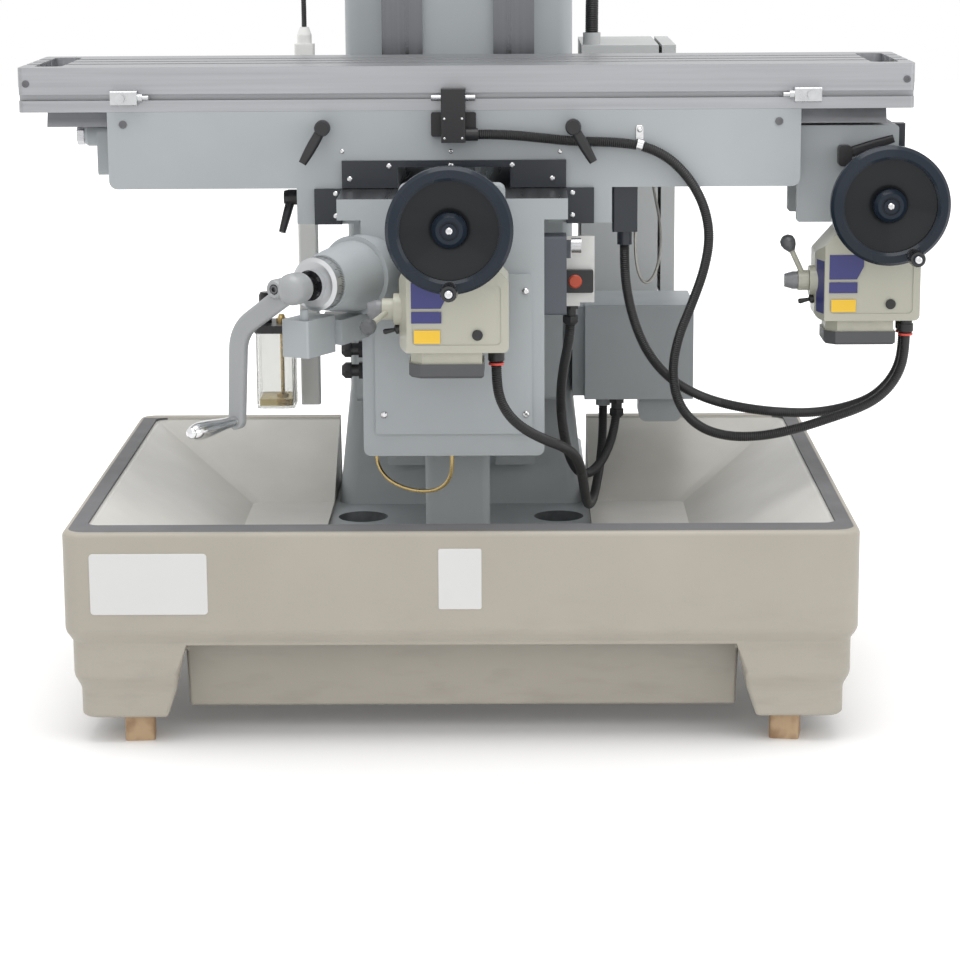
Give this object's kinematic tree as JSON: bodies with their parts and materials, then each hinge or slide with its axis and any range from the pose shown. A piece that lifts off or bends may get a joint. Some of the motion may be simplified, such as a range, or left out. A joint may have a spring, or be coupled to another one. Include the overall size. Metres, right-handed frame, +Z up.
{
  "type": "milling machine",
  "caption": "Knee-type vertical turret milling machine with a long T-slot table, handwheels, power feeds on two axes, a knee crank and a moulded swarf tray.",
  "frame": {"origin": "on the floor, on the machine's centre plane, just behind the column's way faces", "axes": "+X to the operator's right, +Y to the back, +Z up"},
  "size_m": [1.5285, 1.5495, 2.334],
  "materials": {
    "machine_paint": "satin",
    "dark_steel": "satin",
    "ground_steel": "ground",
    "table_steel": "ground",
    "tray_beige": "satin",
    "edge_strip": "matte",
    "packing_wood": "rough",
    "cabinet_paint": "satin",
    "box_grey": "satin",
    "scale_grey": "satin",
    "clear_tank": "clear",
    "black_plastic": "satin",
    "black_rubber": "matte",
    "dial_chrome": "satin",
    "arm_grey": "satin",
    "bright_chrome": "polished",
    "switch_grey": "satin",
    "wheel_black": "gloss",
    "ivory_paint": "satin",
    "motor_grey": "satin",
    "lever_grey": "satin",
    "knob_grey": "satin",
    "motor_paint": "satin",
    "conduit_black": "matte",
    "oil_brass": "satin"
  },
  "bodies": {
    "frame": {"column": "machine_paint", "levelling_bolts": "dark_steel", "elevating_pedestal": "machine_paint", "swarf_tray": "tray_beige", "tray_edge_strip": "edge_strip", "packing_blocks": "packing_wood", "electrical_cabinet": "cabinet_paint", "junction_box": "box_grey", "z_scale": "scale_grey", "lubricator_tank": "clear_tank", "lubricator_pump": "black_plastic", "head_conduit": "conduit_black"},
    "door": {"cabinet_door": "cabinet_paint"},
    "oil_plunger": {"lubricator_plunger": "black_plastic"},
    "knee": {"knee": "machine_paint", "knee_cover": "machine_paint", "y_bearing_bracket": "machine_paint", "z_limit_switch": "switch_grey", "y_feed_housing": "ivory_paint", "y_feed_motor": "motor_grey", "y_feed_conduit": "conduit_black", "oil_tube": "oil_brass"},
    "elevating_screw": {"elevating_screw": "ground_steel"},
    "crank": {"crank_dial": "dial_chrome", "crank_arm": "arm_grey"},
    "crank_handle": {"crank_handle": "bright_chrome"},
    "cross_wheel": {"y_screw": "dial_chrome", "y_handwheel": "wheel_black"},
    "cross_wheel_handle": {"y_wheel_handle": "wheel_black"},
    "cross_feed_lever": {"y_feed_lever": "lever_grey"},
    "cross_feed_knob": {"y_feed_knob": "knob_grey"},
    "saddle": {"saddle": "machine_paint", "saddle_fittings": "black_rubber", "x_bearing_housing": "machine_paint", "x_gearbox": "machine_paint", "x_feed_housing": "ivory_paint", "x_feed_motor": "motor_grey", "limit_switch": "black_plastic", "limit_conduit": "conduit_black", "x_feed_conduit": "conduit_black"},
    "table_lock_left": {"table_lock_lever_left": "black_plastic"},
    "table_lock_right": {"table_lock_lever_right": "black_plastic"},
    "saddle_lock": {"saddle_lock_lever": "black_plastic"},
    "clutch_lever": {"x_clutch_lever": "black_plastic"},
    "long_screw": {"x_screw": "ground_steel"},
    "long_wheel": {"x_handwheel": "wheel_black"},
    "long_wheel_handle": {"x_wheel_handle": "wheel_black"},
    "long_feed_lever": {"x_feed_lever": "lever_grey"},
    "long_feed_knob": {"x_feed_knob": "knob_grey"},
    "switch_plunger": {"limit_plunger": "ground_steel"},
    "table": {"table": "table_steel"},
    "dog_left": {"stop_dog_left": "dark_steel"},
    "dog_right": {"stop_dog_right": "dark_steel"},
    "turret": {"turret": "machine_paint"},
    "ram": {"ram": "machine_paint"},
    "head": {"head": "machine_paint", "head_motor": "motor_paint"},
    "quill": {"quill": "ground_steel"},
    "spindle": {"spindle": "ground_steel"},
    "quill_lever": {"quill_lever": "bright_chrome"}
  },
  "joints": [
    {"name": "cabinet_door_hinge", "type": "hinge", "parent": "frame", "child": "door", "pos_m": [0.389, 0.51, 0.845], "axis": [0, 0, 1], "range_deg": [0, 110]},
    {"name": "oil_plunger_pull", "type": "slide", "parent": "frame", "child": "oil_plunger", "axis": [0, 0, 1], "range_m": [0, 0.035]},
    {"name": "crank_spin", "type": "hinge", "parent": "knee", "child": "crank", "pos_m": [-0.244, -0.77613, 0.735], "axis": [0.5, 0.866, 0], "range_deg": [0, 57610]},
    {"name": "knee_slide", "type": "slide", "parent": "frame", "child": "knee", "axis": [0, 0, 1], "range_m": [0, 0.4], "deforming": ["y_feed_conduit"]},
    {"name": "elevating_screw_spin", "type": "hinge", "parent": "knee", "child": "elevating_screw", "pos_m": [0, -0.33, 0.6], "axis": [0, 0, 1], "range_deg": [0, 28810]},
    {"name": "crank_handle_spin", "type": "hinge", "parent": "crank", "child": "crank_handle", "pos_m": [-0.34549, -0.72793, 0.518], "axis": [-0.5, -0.866, 0], "continuous": true},
    {"name": "cross_wheel_spin", "type": "hinge", "parent": "knee", "child": "cross_wheel", "pos_m": [0, -0.8, 0.8316], "axis": [0, 1, 0], "range_deg": [-13690, 7210]},
    {"name": "saddle_slide", "type": "slide", "parent": "knee", "child": "saddle", "axis": [0, 1, 0], "range_m": [-0.19, 0.1]},
    {"name": "cross_wheel_handle_spin", "type": "hinge", "parent": "cross_wheel", "child": "cross_wheel_handle", "pos_m": [0, -0.85, 0.7446], "axis": [0, -1, 0], "continuous": true},
    {"name": "cross_feed_lever_turn", "type": "hinge", "parent": "knee", "child": "cross_feed_lever", "pos_m": [-0.0915, -0.712, 0.6936], "axis": [1, 0, 0], "range_deg": [-25, 25]},
    {"name": "cross_feed_knob_turn", "type": "hinge", "parent": "knee", "child": "cross_feed_knob", "pos_m": [-0.0915, -0.712, 0.6936], "axis": [-1, 0, 0], "range_deg": [0, 270]},
    {"name": "table_lock_left_turn", "type": "hinge", "parent": "saddle", "child": "table_lock_left", "pos_m": [-0.214, -0.45, 0.958], "axis": [0, 1, 0], "range_deg": [-40, 40]},
    {"name": "table_lock_right_turn", "type": "hinge", "parent": "saddle", "child": "table_lock_right", "pos_m": [0.196, -0.45, 0.958], "axis": [0, 1, 0], "range_deg": [-40, 40]},
    {"name": "saddle_lock_turn", "type": "hinge", "parent": "saddle", "child": "saddle_lock", "pos_m": [-0.2605, -0.36, 0.8318], "axis": [1, 0, 0], "range_deg": [-35, 35]},
    {"name": "clutch_lever_turn", "type": "hinge", "parent": "saddle", "child": "clutch_lever", "pos_m": [0.648, -0.3995, 0.905], "axis": [0, 1, 0], "range_deg": [-15, 15]},
    {"name": "long_wheel_spin", "type": "hinge", "parent": "saddle", "child": "long_wheel", "pos_m": [0.714, -0.5, 0.828], "axis": [0, 1, 0], "range_deg": [-35650, 32770]},
    {"name": "table_slide", "type": "slide", "parent": "saddle", "child": "table", "axis": [1, 0, 0], "range_m": [-0.495, 0.455]},
    {"name": "long_screw_spin", "type": "hinge", "parent": "saddle", "child": "long_screw", "pos_m": [0, -0.2975, 0.933], "axis": [1, 0, 0], "range_deg": [-35650, 32770]},
    {"name": "long_wheel_handle_spin", "type": "hinge", "parent": "long_wheel", "child": "long_wheel_handle", "pos_m": [0.75077, -0.52, 0.74915], "axis": [0, -1, 0], "continuous": true},
    {"name": "long_feed_lever_turn", "type": "hinge", "parent": "saddle", "child": "long_feed_lever", "pos_m": [0.5945, -0.3835, 0.69], "axis": [1, 0, 0], "range_deg": [-25, 25]},
    {"name": "long_feed_knob_turn", "type": "hinge", "parent": "saddle", "child": "long_feed_knob", "pos_m": [0.5945, -0.3835, 0.69], "axis": [-1, 0, 0], "range_deg": [0, 270]},
    {"name": "switch_plunger_slide", "type": "slide", "parent": "saddle", "child": "switch_plunger", "axis": [1, 0, 0], "range_m": [-0.006, 0.006], "stiffness_N_per_m": 400},
    {"name": "dog_left_slide", "type": "slide", "parent": "table", "child": "dog_left", "axis": [1, 0, 0], "range_m": [-0.12, 0]},
    {"name": "dog_right_slide", "type": "slide", "parent": "table", "child": "dog_right", "axis": [1, 0, 0], "range_m": [0, 0.12]},
    {"name": "turret_swivel", "type": "hinge", "parent": "frame", "child": "turret", "pos_m": [0, 0.23, 1.5], "axis": [0, 0, 1], "range_deg": [-90, 90]},
    {"name": "ram_slide", "type": "slide", "parent": "turret", "child": "ram", "axis": [0, 1, 0], "range_m": [-0.25, 0.1]},
    {"name": "head_tilt", "type": "hinge", "parent": "ram", "child": "head", "pos_m": [0, -0.12, 1.735], "axis": [0, 1, 0], "range_deg": [-45, 45]},
    {"name": "quill_lever_turn", "type": "hinge", "parent": "head", "child": "quill_lever", "pos_m": [0.1, -0.2315, 1.74], "axis": [1, 0, 0], "range_deg": [0, 355]},
    {"name": "quill_slide", "type": "slide", "parent": "head", "child": "quill", "axis": [0, 0, 1], "range_m": [-0.127, 0]},
    {"name": "spindle_spin", "type": "hinge", "parent": "quill", "child": "spindle", "pos_m": [0, -0.2975, 1.65], "axis": [0, 0, 1], "continuous": true}
  ],
  "couplings": [
    {"joint": "crank_spin", "follows": "knee_slide", "rad_per_m": 2513.3},
    {"joint": "elevating_screw_spin", "follows": "knee_slide", "rad_per_m": 1256.6},
    {"joint": "cross_wheel_spin", "follows": "saddle_slide", "rad_per_m": 1256.6},
    {"joint": "long_wheel_spin", "follows": "table_slide", "rad_per_m": 1256.6},
    {"joint": "long_screw_spin", "follows": "table_slide", "rad_per_m": 1256.6},
    {"joint": "quill_slide", "follows": "quill_lever_turn", "m_per_rad": -0.0203}
  ]
}
